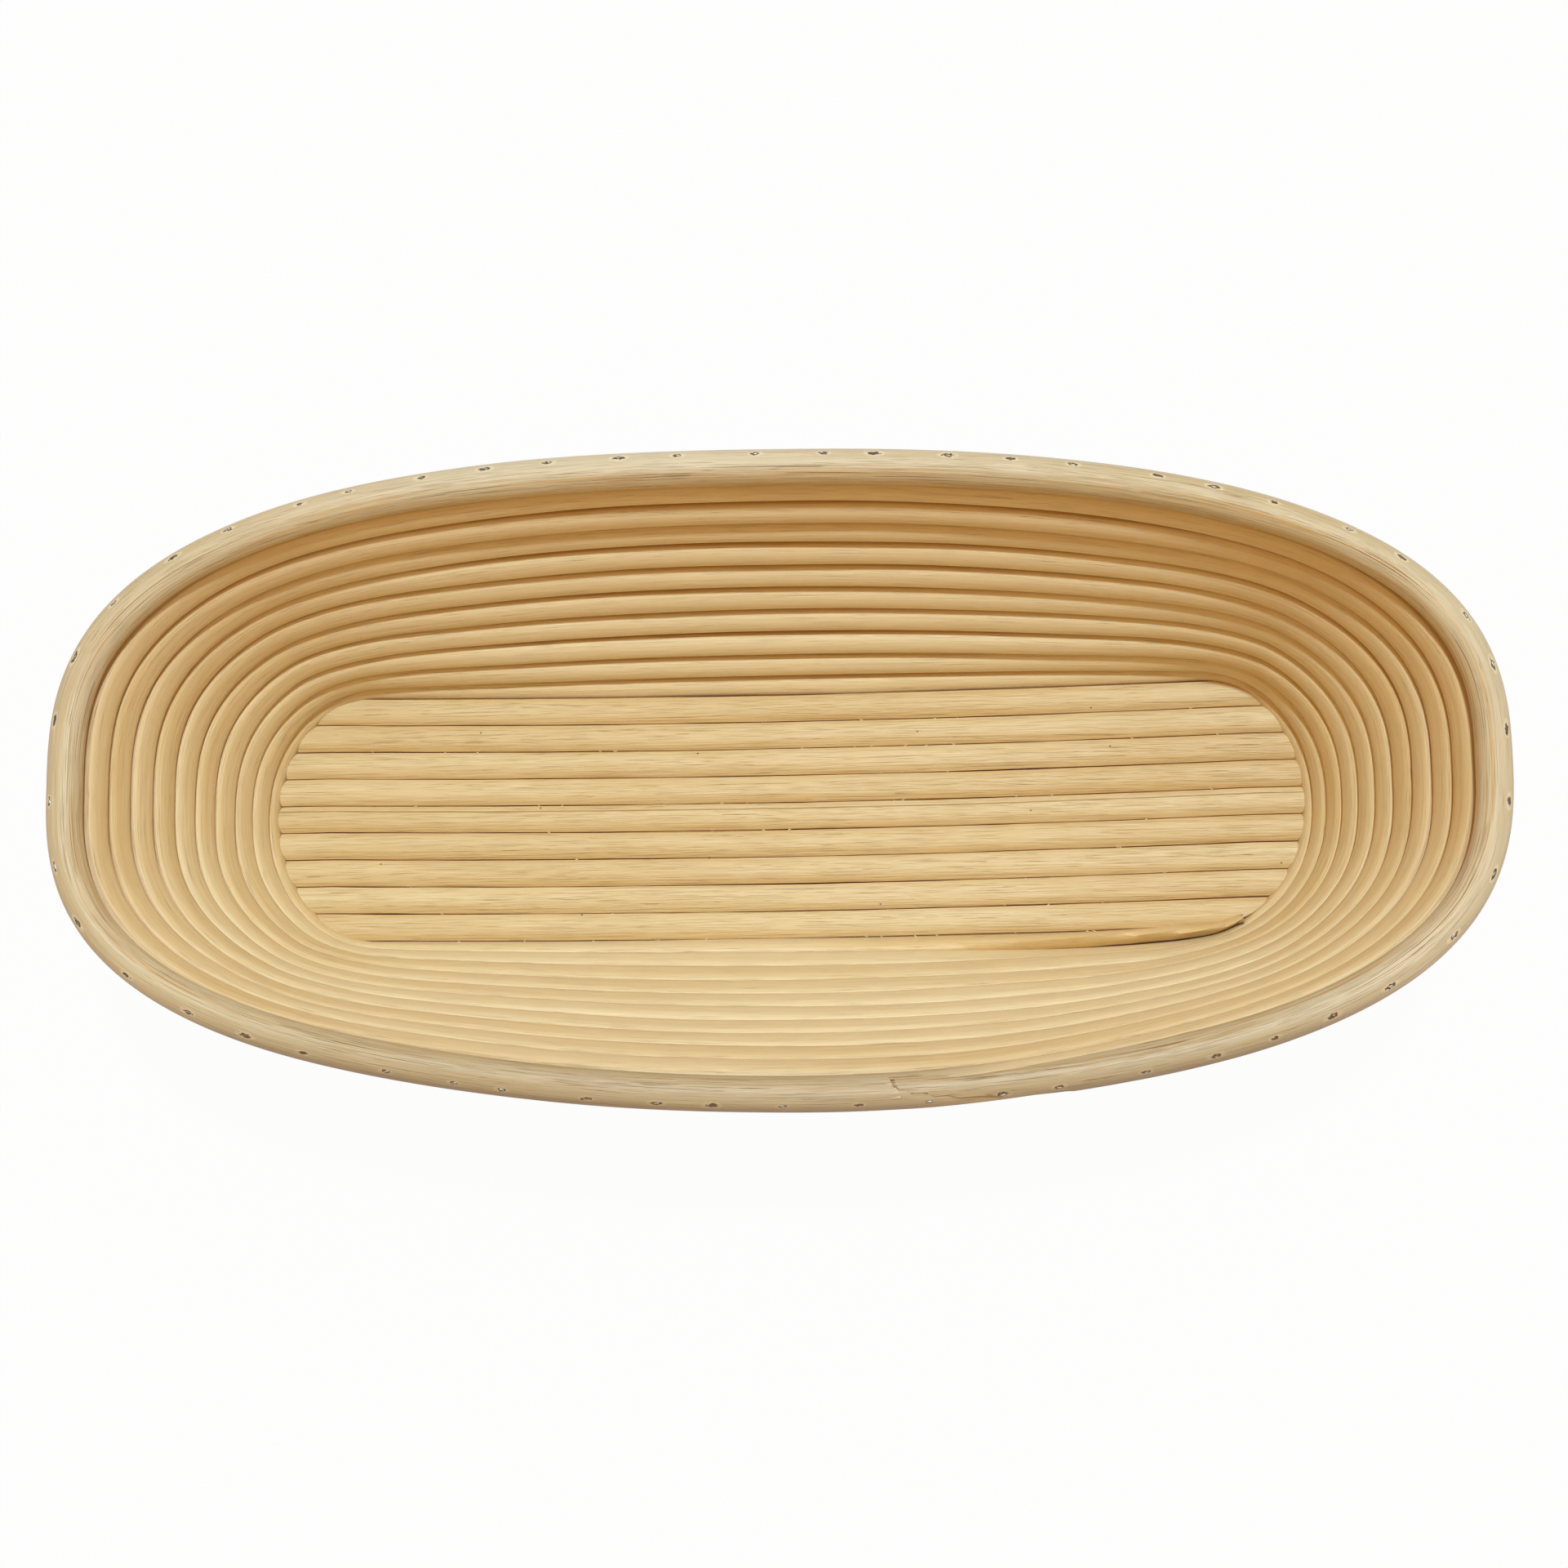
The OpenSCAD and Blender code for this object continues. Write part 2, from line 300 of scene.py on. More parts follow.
class Finish:
    """A material under construction, with one method that adds any node."""

    def __init__(self, name):
        self.material = bpy.data.materials.new(name)
        self.material.use_nodes = True
        self.tree = self.material.node_tree
        self.tree.nodes.clear()

    def node(self, kind, settings=None, inputs=None):
        """Adds a node, sets its settings, then sets or links its sockets by identifier, name or number."""
        made = self.tree.nodes.new(kind)
        for key, setting in (settings or {}).items():
            setattr(made, key, setting)
        known = {s.identifier: s for s in made.inputs}
        for key, given in (inputs or {}).items():
            socket = known.get(key) or made.inputs[key]
            source = given.socket if isinstance(given, Value) else given
            if isinstance(source, bpy.types.NodeSocket):
                self.tree.links.new(source, socket)
            else:
                socket.default_value = source
        return made

    def value(self, kind, settings=None, inputs=None):
        """The first output of a new node, as a value."""
        return Value(self, self.node(kind, settings, inputs).outputs[0])

    def mix(self, share, a, b):
        """Colour a turned into colour b by a share from 0 to 1."""
        inputs = {"Factor_Float": share, "A_Color": a, "B_Color": b}
        return self.node("ShaderNodeMix", {"data_type": "RGBA"}, inputs).outputs[2]

    def layered(self, tone, *layers):
        """A colour under layers: each is a mask from 0 to 1, the share it covers at most, and its colour."""
        for mask, most, over in layers:
            tone = self.mix(mask * most, tone, over)
        return tone

    def vector(self, x, y, z):
        """A vector of three values or numbers."""
        return self.node("ShaderNodeCombineXYZ", None, {0: x, 1: y, 2: z}).outputs[0]

    def apart(self, vector):
        """The three parts of a vector as values."""
        parts = self.node("ShaderNodeSeparateXYZ", None, {0: vector})
        return [Value(self, out) for out in parts.outputs]

    def attribute(self, name):
        """The three parts of a piece's own attribute."""
        return self.apart(self.node("ShaderNodeAttribute", {"attribute_name": name}).outputs["Vector"])

    def place(self):
        """A point's place in the frame, in metres."""
        return self.node("ShaderNodeTexCoord").outputs["Object"]

    def millimetres(self):
        """The three parts of a point's place, in millimetres."""
        return [part / MILLIMETRE for part in self.apart(self.place())]

    def noise(self, vector, scale=1.0, detail=2.0, roughness=0.5):
        """Soft noise from about 0 to 1 at a vector."""
        inputs = {"Vector": vector, "Scale": scale, "Detail": detail, "Roughness": roughness}
        return self.value("ShaderNodeTexNoise", None, inputs)

    def bump(self, relief, distance):
        """The normal of a surface with a relief of this many metres."""
        inputs = {"Height": relief, "Distance": distance, "Strength": 1.0}
        return self.node("ShaderNodeBump", None, inputs).outputs[0]

    def surface(self, **inputs):
        """Ends the material in a Principled shader with these inputs, named with underscores for spaces."""
        named = {key.replace("_", " "): given for key, given in inputs.items()}
        shader = self.node("ShaderNodeBsdfPrincipled", None, named)
        self.node("ShaderNodeOutputMaterial", None, {"Surface": shader.outputs[0]})
        return self.material


def colour(red, green, blue):
    """Linear colour of a screen colour given in parts of 255, by the screen's standard curve."""
    parts = np.array([red, green, blue]) / 255
    linear = np.where(parts <= 0.04045, parts / 12.92, ((parts + 0.055) / 1.055) ** 2.4)
    return (*linear.tolist(), 1.0)


# The gold, pale fibre and pore brown colours give the grain, and also painted shade and painted light on the
# cane and slats; the shade brown is painted shade.
WALL_PALE = colour(231, 210, 166)
WALL_WARM = colour(219, 190, 135)
SLAT_PALE = colour(220, 197, 150)
SLAT_WARM = colour(209, 180, 126)
RIM_PALE = colour(210, 198, 172)
RIM_WARM = colour(200, 184, 150)
PALE_FIBRE_AND_LIGHT = colour(243, 230, 200)
GOLD_TONE_AND_SHADE = colour(198, 154, 82)
PORE_AND_SHADE_BROWN = colour(160, 112, 58)
EDGE_BROWN = colour(160, 80, 26)
SEAM_BROWN = colour(100, 38, 10)
CUT_YELLOW = colour(216, 174, 98)
HOLE_BROWN = colour(70, 50, 36)
SHADE_BROWN = colour(132, 104, 56)
STEEL_DULL = colour(150, 148, 144)
STEEL_BRIGHT = colour(205, 204, 200)

# Grain of rattan: noise of this scale per millimetre along and across the cane, with this detail.
SLOW_GRAIN = (0.006, 0.05, 3.0)
STREAK_GRAIN = (0.01, 0.7, 3.0)
FIBRE_GRAIN = (0.03, 2.6, 3.0)
HAIR_GRAIN = (0.05, 4.5, 2.0)
PORE_GRAIN = (0.12, 3.0, 2.0)
THREAD_GRAIN = (0.006, 0.9, 1.0)
WORN_GRAIN = (0.02, 1.6, 4.0)
CRACK_GRAIN = (0.035, 4.4, 2.0)
RAGGED_GRAIN = (1.3, 1.3, 3.0)
FIBRE_ROUGHNESS = 0.65
# Contour lines of the thread noise, which draw long fine lines.
THREADS = 9
# Satin finish of rattan: its roughness, what its relief adds to that, its gloss,
# and the depth of its bump in metres.
RATTAN_ROUGH = 0.45
RELIEF_ROUGH = 0.1
RATTAN_GLOSS = 0.6
RATTAN_BUMP = 0.00014


def grained(finish, spot, grain, roughness=0.5):
    """Noise drawn out along the cane, at millimetres along, across and into it."""
    along, across, depth = spot
    lengthways, crossways, detail = grain
    place = finish.vector(along * lengthways, across * crossways, depth * crossways)
    return finish.noise(place, detail=detail, roughness=roughness)


def rattan(finish, spot, pale, warm):
    """Colour and relief of peeled rattan at millimetres along, across and into the cane.

    Noise drawn out along the cane gives its streaks, fibres, short pores and fine lines.
    Slow noise gives its tone."""
    slow = grained(finish, spot, SLOW_GRAIN)
    streak = grained(finish, spot, STREAK_GRAIN)
    fibre = grained(finish, spot, FIBRE_GRAIN, FIBRE_ROUGHNESS)
    hair = grained(finish, spot, HAIR_GRAIN)
    pore = grained(finish, spot, PORE_GRAIN)
    thread = grained(finish, spot, THREAD_GRAIN)
    lines = 1 - abs((thread * THREADS).fraction() - 0.5).between(0.04, 0.16)
    lines = lines * pore.between(0.45, 0.62)
    pores = pore.between(0.66, 0.74) * streak.between(0.4, 0.6)
    tone = finish.layered(
        finish.mix(slow.between(0.35, 0.68), pale, warm),
        (streak.between(0.48, 0.75), 0.3, GOLD_TONE_AND_SHADE),
        (fibre.between(0.5, 0.7), 0.19, PORE_AND_SHADE_BROWN),
        (hair.between(0.54, 0.7), 0.42, PALE_FIBRE_AND_LIGHT),
        (pores, 0.34, PORE_AND_SHADE_BROWN),
        (lines, 0.18, PORE_AND_SHADE_BROWN),
    )
    relief = hair * 0.6 - fibre * 0.7 - pores * 0.6 - lines * 0.4
    return tone, relief


def rattan_surface(finish, tone, relief, dents):
    """Ends a satin rattan finish: raised fibres are rougher, and its bump is the relief less some dents."""
    return finish.surface(
        Base_Color=tone,
        Roughness=RATTAN_ROUGH + relief * RELIEF_ROUGH,
        Specular_IOR_Level=RATTAN_GLOSS,
        Normal=finish.bump(relief - dents, RATTAN_BUMP),
    )


# The wound cane, as one tube from the tongue beside the nearest slat to the tail on the near rim.
CANE_SIDES = 28
WALL_SPACING = 2.8
DENSE_POINTS = 60000
# Power of the section's oval: nearly round on the rim and the far side, and squarer elsewhere.
ROUND_POWER = 2.1
SECTION_SQUARE = 3.6
# How far a turn reaches past the middle between two turns, how much more it does so away from the far side,
# and how far it reaches past that middle below, at least.
SEATED = 0.03
PRESSED = 0.3
SEATED_BELOW = 0.12
# The cane's thickness grows by this share from the floor to the rim.
CANE_GROWTH = 0.05
# Degrees over which the cane takes on the section of the rim.
RIM_EASE = 30.0
# The second turn stands back beside the tongue: how far at most, and where and over how many degrees.
TONGUE_ROOM = 1.6
TONGUE_MIDDLE = 20.0
TONGUE_SPREAD = 12.0
# The tongue's tip: its length, how it bends, and how far it lies inward and up.
TIP_LONG = 45.0
TIP_BEND = 1.5
TIP_IN = 1.0
TIP_UP = 0.8
# Where the skive is deepest, in radii from the cane's middle towards the other turn.
SKIVE_LEAST = -0.75
# Rays flatter to the cut than this cosine never meet it, so they get a reach past any section.
GRAZING = 0.02
NO_CUT = 9.0
# Cosine from which the crease along the middle of the skive starts, and over which it grows.
CREASE_FROM = 0.93
CREASE_OVER = 0.05
# The tail's end: how far back its slant starts, and the slant itself.
SLANT_LONG = 15.0
TAIL_SLANT = 0.5
# No point of the cane lies lower than this.
LOWEST = 0.02
# The golden tongue: its mark, how far from the tip it reaches, and over which length it fades.
TONGUE_GOLD = 0.4
GOLD_LONG = 140.0
GOLD_FADE = 60.0
# Staples of the rim: about this far apart, moved along by up to this much, with torn spots of these sizes
# and this many rings of the cane from one to the next, and leaning out by this angle.
STAPLE_STEP = 16.0
STAPLE_SHIFT = 2.6
STAPLE_SIZES = (0.75, 1.1)
STAPLE_RINGS = 12
STAPLE_LEAN = math.radians(20)
# Half length and half width of the torn spot round a staple.
TORN_LONG = 2.0
TORN_WIDE = 0.8

dense = np.linspace(START_TURNED, STOP_TURNED, DENSE_POINTS)
dense_steps = np.linalg.norm(np.diff(cane_middle(dense), axis=0), axis=1)
dense_run = np.concatenate([[0.0], np.cumsum(dense_steps)])
cane_long = dense_run[-1]
rim_start = np.interp(RIM_TURNED, dense, dense_run)
rim_long = cane_long - rim_start
staple_count = round(rim_long / STAPLE_STEP)
staple_rng = np.random.default_rng(11)
staple_run = rim_start + (np.arange(staple_count) + 0.5) * rim_long / staple_count
staple_run = staple_run + staple_rng.uniform(-STAPLE_SHIFT, STAPLE_SHIFT, staple_count)
staple_size = staple_rng.uniform(*STAPLE_SIZES, staple_count)
# Rings of the rim are evenly spread between its start, each staple, each middle between two, and its end.
staple_gaps = (staple_run[1:] + staple_run[:-1]) / 2
knots = np.sort(np.concatenate([staple_run, staple_gaps, [rim_start, cane_long]]))
knot_steps = np.arange(0, len(knots) - 1, 2 / STAPLE_RINGS)
rim_rings = np.interp(knot_steps, np.arange(len(knots)), knots)
wall_rings = np.linspace(0, rim_start, int(rim_start / WALL_SPACING), endpoint=False)
cane_run = np.concatenate([wall_rings, rim_rings, [cane_long]])
cane_turned = np.interp(cane_run, dense_run, dense)


def skived_round(turned, middle, up, inward, around):
    """Round section of radius 1, cut flat where the tongue or tail is skived against the other turn.

    From a middle point of what is left, each ray ends at the circle or at the cut, whichever is nearer.
    Gives the parts up the wall and inward, and a mark that goes from 1 on the cut to 2 along its middle."""
    tongue, tail = turned < CLIMB_SPAN, turned > END_TURNED
    skived = tongue | tail
    gap = cane_middle(np.where(tail, turned - 360, turned + 360)) - middle
    lean = np.stack([dot(gap, up)[:, 0], dot(gap, inward)[:, 0]], -1)
    away = np.linalg.norm(lean, axis=1)
    cut = np.where(skived, np.clip((away - CANE_R) / CANE_R, SKIVE_LEAST, 1), 1.0)[:, None]
    facing = np.where(skived, np.arctan2(lean[:, 1], lean[:, 0]), 0.0)[:, None]
    ray = around[None, :] - facing
    base = (cut - 1) / 2
    to_round = -base * np.cos(ray) + np.sqrt(1 - (base * np.sin(ray)) ** 2)
    to_cut = np.where(np.cos(ray) > GRAZING, (cut - base) / np.maximum(np.cos(ray), GRAZING), NO_CUT)
    reach = np.minimum(to_round, to_cut)
    ahead, aside = base + reach * np.cos(ray), reach * np.sin(ray)
    w = ahead * np.cos(facing) - aside * np.sin(facing)
    n = ahead * np.sin(facing) + aside * np.cos(facing)
    crease = np.clip((np.cos(ray) - CREASE_FROM) / CREASE_OVER, 0, 1)
    cut_mark = np.where(to_cut < to_round, 1.0 + crease, 0.0) * skived[:, None]
    return w, n, cut_mark


def cane_section(turned, around, run):
    """Points of the cane: its middle plus up-the-wall and inward parts of a squared oval section.

    The middle wanders a little, and the tongue's tip lies over the edge of the nearest slat. The section is
    cut where the cane is skived, and the tail ends on a slant."""
    middle, forward, up, inward, pitch = cane_frame(turned)
    level = moved_out(turned)
    on_rim = np.clip((turned - RIM_TURNED) / RIM_EASE + 1, 0, 1)
    far_side = np.maximum(0, np.sin(np.radians(-CLIMB_FROM - turned))) ** 2
    high = (pitch / 2 + SEATED + PRESSED * (1 - far_side)) * (1 - on_rim) + RIM_R * on_rim
    below = np.maximum(high, pitch / 2 + SEATED_BELOW)
    thick = CANE_R * (1 + CANE_GROWTH * (level / TOP - 0.5)) * (1 - on_rim) + RIM_R * on_rim
    thick = thick * (1 + wander(run, seed=3, size=0.02, longest=310))
    stand = wander(run, seed=5, size=0.22, longest=420)
    stand = stand + far_side * np.interp(level, np.arange(TURNS), FAR_STEPS)
    stand = stand - TONGUE_ROOM * np.exp(-(((turned - 360 - TONGUE_MIDDLE) / TONGUE_SPREAD) ** 2))
    tip = np.clip(1 - run / TIP_LONG, 0, 1)[:, None] ** TIP_BEND
    middle = middle + inward * stand[:, None]
    middle = middle + tip * (inward * TIP_IN + np.array([0, 0, TIP_UP]))
    w, n, cut_mark = skived_round(turned, middle, up, inward, around)
    power = (ROUND_POWER + (SECTION_SQUARE - ROUND_POWER) * (1 - on_rim) * (1 - far_side))[:, None]
    fuller = np.hypot(w, n) / (np.abs(w) ** power + np.abs(n) ** power + 1e-9) ** (1 / power)
    w = w * fuller * np.where(w < 0, below[:, None], high[:, None])
    n = n * fuller * thick[:, None]
    slant = np.clip(1 - (cane_long - run) / SLANT_LONG, 0, 1)[:, None] * n * TAIL_SLANT
    points = middle[:, None] + up[:, None] * w[..., None] + inward[:, None] * n[..., None]
    points = points + forward[:, None] * slant[..., None]
    points[..., 2] = np.maximum(points[..., 2], LOWEST)
    grain = np.stack([run[:, None] + slant, w, n], -1)
    return points, grain, cut_mark, on_rim


around_cane = 2 * np.pi * np.arange(CANE_SIDES) / CANE_SIDES
cane_points, cane_grain, cane_cut, cane_rim = cane_section(cane_turned, around_cane, cane_run)
nearest = np.abs(cane_run[:, None] - staple_run[None, :]).argmin(1)
beside_staple = np.abs(cane_run - staple_run[nearest])
tongue_gold = TONGUE_GOLD * np.clip((GOLD_LONG - cane_run) / GOLD_FADE, 0, 1)
# Marks of the cane: above 0 the rim, and below 0 the golden tongue, its skived face and the crease on it;
# then the distance along the cane to the nearest staple, and that staple's size.
cane_marks = np.stack([
    np.where(cane_rim[:, None] > 0, cane_rim[:, None], -np.maximum(cane_cut, tongue_gold[:, None])),
    np.broadcast_to(beside_staple[:, None], cane_cut.shape),
    np.broadcast_to(staple_size[nearest][:, None], cane_cut.shape),
], -1)


def cane_finish():
    """Rattan along the cane, paler on the rim, yellow where it is skived, torn at the staples.

    Grooves between the turns get painted shade and the ridges painted light, by shares that differ from side
    to side.
    The upper far wall and the far corners get painted shade and the near wall painted light. The near rim's
    outer side, the skive's crease, the tail's slanted end and the slots at the staples get painted shade."""
    finish = Finish("wall_rattan")
    along, w, n = spot = finish.attribute("grain")
    kind, beside, size = finish.attribute("marks")
    x, y, z = finish.millimetres()

    rim = kind.between(0.5, 1.0)
    wall = 1 - rim
    golden = (-kind).between(0.05, TONGUE_GOLD)
    cut = (-kind).between(0.6, 0.9)
    crease = (-kind).between(1.2, 1.8)
    pale = finish.mix(rim, WALL_PALE, RIM_PALE)
    warm = finish.mix(rim, WALL_WARM, RIM_WARM)
    tone, relief = rattan(finish, spot, pale, warm)

    ridge = n.between(1.4, 3.2)
    groove = abs(w).between(3.75, 4.25)
    far_wall = y.between(20, 50)
    near_wall = (-y).between(20, 45)
    end_wall = abs(x).between(100, 130)
    # Painted shade on the upper far wall and the far corners.
    shaded = z.between(35, 70).math("MAXIMUM", abs(x).between(70, 115)) * far_wall
    # Shares of painted shade under the ridges, painted light on the ridges and a painted shade line in the
    # grooves, larger on the far wall and smaller on the near wall and the ends.
    under_ridge_shade_share = 0.5 + far_wall * 0.3 - near_wall * 0.35 - end_wall * 0.15
    ridge_light_share = 0.25 + far_wall * 0.25 - near_wall * 0.1 - end_wall * 0.15
    groove_shade_share = 0.55 - near_wall * 0.3

    inner = n.between(0.5, 3.0) * rim
    worn = grained(finish, spot, WORN_GRAIN).between(0.5, 0.62) * inner
    cracks = grained(finish, spot, CRACK_GRAIN).between(0.63, 0.68) * inner
    # Painted shade on the near rim, darker towards its outer side.
    outer_shade_share = (-n).between(0.3, 4.0) * 0.35 + 0.3
    near_rim_shade = (-y).between(45, 75) * rim
    # A painted shade line along the tail's slanted end.
    tail_end_shade = (along - n * TAIL_SLANT).between(cane_long - 1.3, cane_long - 0.7) * rim

    ragged = grained(finish, spot, RAGGED_GRAIN)
    across = w * math.sin(STAPLE_LEAN) + n * math.cos(STAPLE_LEAN)
    on_top = (w * math.cos(STAPLE_LEAN) - n * math.sin(STAPLE_LEAN)).between(2.0, 2.6) * rim
    away = (beside / (size * TORN_LONG)).squared() + (across / (size * TORN_WIDE)).squared()
    lifted = (1 - (away + ragged * 1.4).between(1.5, 2.6)) * on_top
    torn = (1 - (away + ragged * 2.2).between(1.3, 1.7)) * on_top

    tone = finish.layered(
        tone,
        # Painted shade on the upper far wall and far corners, and painted light on the near wall.
        (shaded * wall, 0.3, GOLD_TONE_AND_SHADE),
        (near_wall * wall, 0.15, PALE_FIBRE_AND_LIGHT),
        # Painted shade under the ridges, painted light on them and a painted shade line in each groove.
        ((1 - ridge) * wall, under_ridge_shade_share, GOLD_TONE_AND_SHADE),
        (ridge * wall, ridge_light_share, PALE_FIBRE_AND_LIGHT),
        (groove * wall, groove_shade_share, PORE_AND_SHADE_BROWN),
        (golden, 0.45, CUT_YELLOW),
        (cut, 0.35, CUT_YELLOW),
        # Painted shade: a dark line along the middle of the skived face, where it meets the other turn.
        (crease, 0.9, SEAM_BROWN),
        (worn, 0.5, GOLD_TONE_AND_SHADE),
        (cracks, 0.75, PORE_AND_SHADE_BROWN),
        (lifted, 0.5, PALE_FIBRE_AND_LIGHT),
        # The torn spots are partly torn fibre and partly painted shade for the depth of the slots.
        (torn, 0.95, HOLE_BROWN),
        (near_rim_shade, outer_shade_share, SHADE_BROWN),
        (tail_end_shade, 0.7, SEAM_BROWN),
    )
    return rattan_surface(finish, tone, relief, torn * 1.5 + cracks)


wound_cane = add_piece(
    "wound_cane",
    cane_points.reshape(-1, 3),
    tube_faces(len(cane_run), CANE_SIDES),
    cane_finish(),
    attributes={"grain": cane_grain.reshape(-1, 3), "marks": cane_marks.reshape(-1, 3)},
)
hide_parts("wall_coil")


# Floor slats, each with a low crown, cut to the floor's outline over the shoulder of the first turn.
SLAT_CROWN = 0.8
CROWN_POWER = 2.8
CROWN_POINTS = 29
# The left side of a slat's section from its crown down: half widths across and heights.
SLAT_SIDE = ((-1.0, SLAT_HIGH - 1.7), (-1.025, 3.2), (-1.025, 1.2), (-0.97, 0.3))
UNDER_HALF = 0.88
UNDER_POINTS = 5
SLAT_STATIONS = 150
# Stations of a slat stand closer towards its ends by this power.
STATION_POWER = 1.15
# What is added to a slat's half width, and to its length beyond the floor's outline.
SLAT_SPREAD = 0.02
SLAT_TUCK = 0.05
# The shoulder's hollow stops this far short of the cane's top.
HOLLOW_STOP = 0.4
# How much further the middle of a slat's end reaches than its corners.
SLAT_BULGE = 0.5
# What is added to the floor's half width where its outline is worked out.
OUTLINE_ROOM = 0.05
SLAT_SMOOTH_UNDER = 40
# How far the grain is moved along from slat to slat.
GRAIN_SHIFT = 331
# Scales per millimetre of the noise on the slats: brown dashes along and across, broken edges along,
# and dots along and across.
DASH_SCALES = (0.03, 2.8)
BROKEN_SCALE = 0.06
DOT_SCALES = (0.025, 0.03)
# The slat with a long groove, the groove's place across it, how far it wanders and by which scale.
GROOVED_SLAT = 5
GROOVE_AT = 0.5
GROOVE_WANDER = 0.12
GROOVE_SCALE = 0.01


def slat_middle(number):
    """Distance of a slat's middle line from the floor's, towards the far side."""
    return ((SLATS + 1) / 2 - number) * SLAT_PITCH


def slat_profile():
    """Section of a slat, anticlockwise seen from its right end, with across from -1 to 1.

    Its crown falls by a power of the distance from its middle, its two sides meet the next slats, and its
    underside is flat."""
    v = np.linspace(1, -1, CROWN_POINTS)
    crown = np.stack([v, SLAT_HIGH - SLAT_CROWN * np.abs(v) ** CROWN_POWER], -1)
    left = np.array(SLAT_SIDE)
    under = np.stack([np.linspace(-UNDER_HALF, UNDER_HALF, UNDER_POINTS), np.zeros(UNDER_POINTS)], -1)
    right = left[::-1] * [-1, 1]
    return np.concatenate([crown, left, under, right])


def outline_reach(y):
    """Half length of the floor at a distance y from its middle line, by the half ellipse of its end."""
    share = np.clip(np.abs(y) / (FLOOR_HALF_WIDE + OUTLINE_ROOM), 0, 1)
    return FLOOR_LONG / 2 - FLOOR_ROUND * (1 - np.sqrt(1 - share**2))


def floor_slat(number, finish):
    """A slat: its section carried along X between its two ends, with edges that wander a little.

    Each end follows the floor's outline, and is hollowed to the round side of the first turn."""
    profile = slat_profile()
    across, z = profile[:, 0][None, :], profile[:, 1][None, :]
    even = np.linspace(0, 1, SLAT_STATIONS)[:, None] * 2 - 1
    shape = np.sign(even) * (1 - (1 - np.abs(even)) ** STATION_POWER)
    rough_x = shape * FLOOR_LONG / 2
    half = SLAT_WIDE / 2 + SLAT_SPREAD + wander(rough_x, seed=40 + number, size=0.05, longest=120)
    y = slat_middle(number) + across * half + wander(rough_x, seed=60 + number, size=0.05, longest=260)
    z = z + (z > SLAT_HIGH / 2) * wander(rough_x, seed=80 + number, size=0.1, longest=170)
    over = np.clip(np.abs(z - FIRST_Z), 0, CANE_R - HOLLOW_STOP)
    shoulder = CANE_R - np.sqrt(CANE_R**2 - over**2)
    reach = outline_reach(y) + shoulder + SLAT_TUCK + SLAT_BULGE * (0.5 - np.abs(across) ** 3)
    x = shape * reach
    points = np.stack([x, y + floor_bend(x), np.broadcast_to(z, x.shape)], -1)
    to_end = reach - np.abs(x)
    marks = np.stack([to_end, np.broadcast_to(across, x.shape), np.full(x.shape, float(number))], -1)
    piece = add_piece(
        f"rattan_slat_{number}",
        points.reshape(-1, 3),
        tube_faces(SLAT_STATIONS, len(profile)),
        finish,
        SLAT_SMOOTH_UNDER,
        {"marks": marks.reshape(-1, 3)},
    )
    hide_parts(f"floor_slat_{number}")


def slat_finish():
    """Rattan along X, with a tone of its own on each slat.

    A slat has brown streaks and painted shade on its near side, painted shade at its ends,
    dark broken edges at the seams and a few dark dots."""
    finish = Finish("floor_rattan")
    x, y, z = finish.millimetres()
    to_end, across, number = finish.attribute("marks")
    tone, relief = rattan(finish, (x + number * GRAIN_SHIFT, y, z), SLAT_PALE, SLAT_WARM)

    own = finish.value("ShaderNodeTexWhiteNoise", {"noise_dimensions": "1D"}, {"W": number + 0.5})
    near = (-across).between(-0.1, 0.95)
    dash_place = finish.vector(x * DASH_SCALES[0], y * DASH_SCALES[1], number)
    dashes = finish.noise(dash_place, detail=3.0).between(0.5, 0.68) * near
    groove_at = finish.noise(finish.vector(x * GROOVE_SCALE, 0.0, 0.0)) * GROOVE_WANDER + GROOVE_AT
    grooved = 1 - abs(number - GROOVED_SLAT).between(0.2, 0.6)
    groove = (1 - abs(across - groove_at).between(0.01, 0.05)) * grooved
    broken = finish.noise(finish.vector(x * BROKEN_SCALE, number, 0.0), detail=3.0).between(0.35, 0.55)
    edge = abs(across).between(0.96, 0.99)
    end = 1 - to_end.between(0.1, 0.45)
    dot_place = finish.vector(x * DOT_SCALES[0], y * DOT_SCALES[1], 0.0)
    to_dot = finish.value(
        "ShaderNodeTexVoronoi", {"voronoi_dimensions": "2D"}, {"Vector": dot_place, "Scale": 1.0}
    )
    dots = 1 - to_dot.between(0.004, 0.009)

    tone = finish.layered(
        tone,
        (own, 0.35, SLAT_WARM),
        (dashes, 0.6, PORE_AND_SHADE_BROWN),
        # Painted shade over each slat's near half.
        (near, 0.3, GOLD_TONE_AND_SHADE),
        (groove, 0.6, PORE_AND_SHADE_BROWN),
        (edge, 0.8, EDGE_BROWN),
        (edge * broken, 0.5, SEAM_BROWN),
        # Painted shade at the slat's ends, where the first turn meets them.
        (end, 0.7, PORE_AND_SHADE_BROWN),
        (dots, 0.85, SEAM_BROWN),
    )
    return rattan_surface(finish, tone, relief, dashes * 0.3 + groove)


floor_rattan = slat_finish()
for slat_number in range(1, SLATS + 1):
    floor_slat(slat_number, floor_rattan)


# A spike: its three-sided base with a point below, and the faces between these and the tip, which is last.
SPIKE_BASE = np.array([[-0.22, -0.08, 0.0], [0.22, -0.08, 0.0], [0.0, 0.18, 0.0], [0.0, 0.0, -0.3]])
SPIKE_FACES = np.array([[0, 1, 4], [1, 2, 4], [2, 0, 4], [1, 0, 3], [2, 1, 3], [0, 2, 3]])
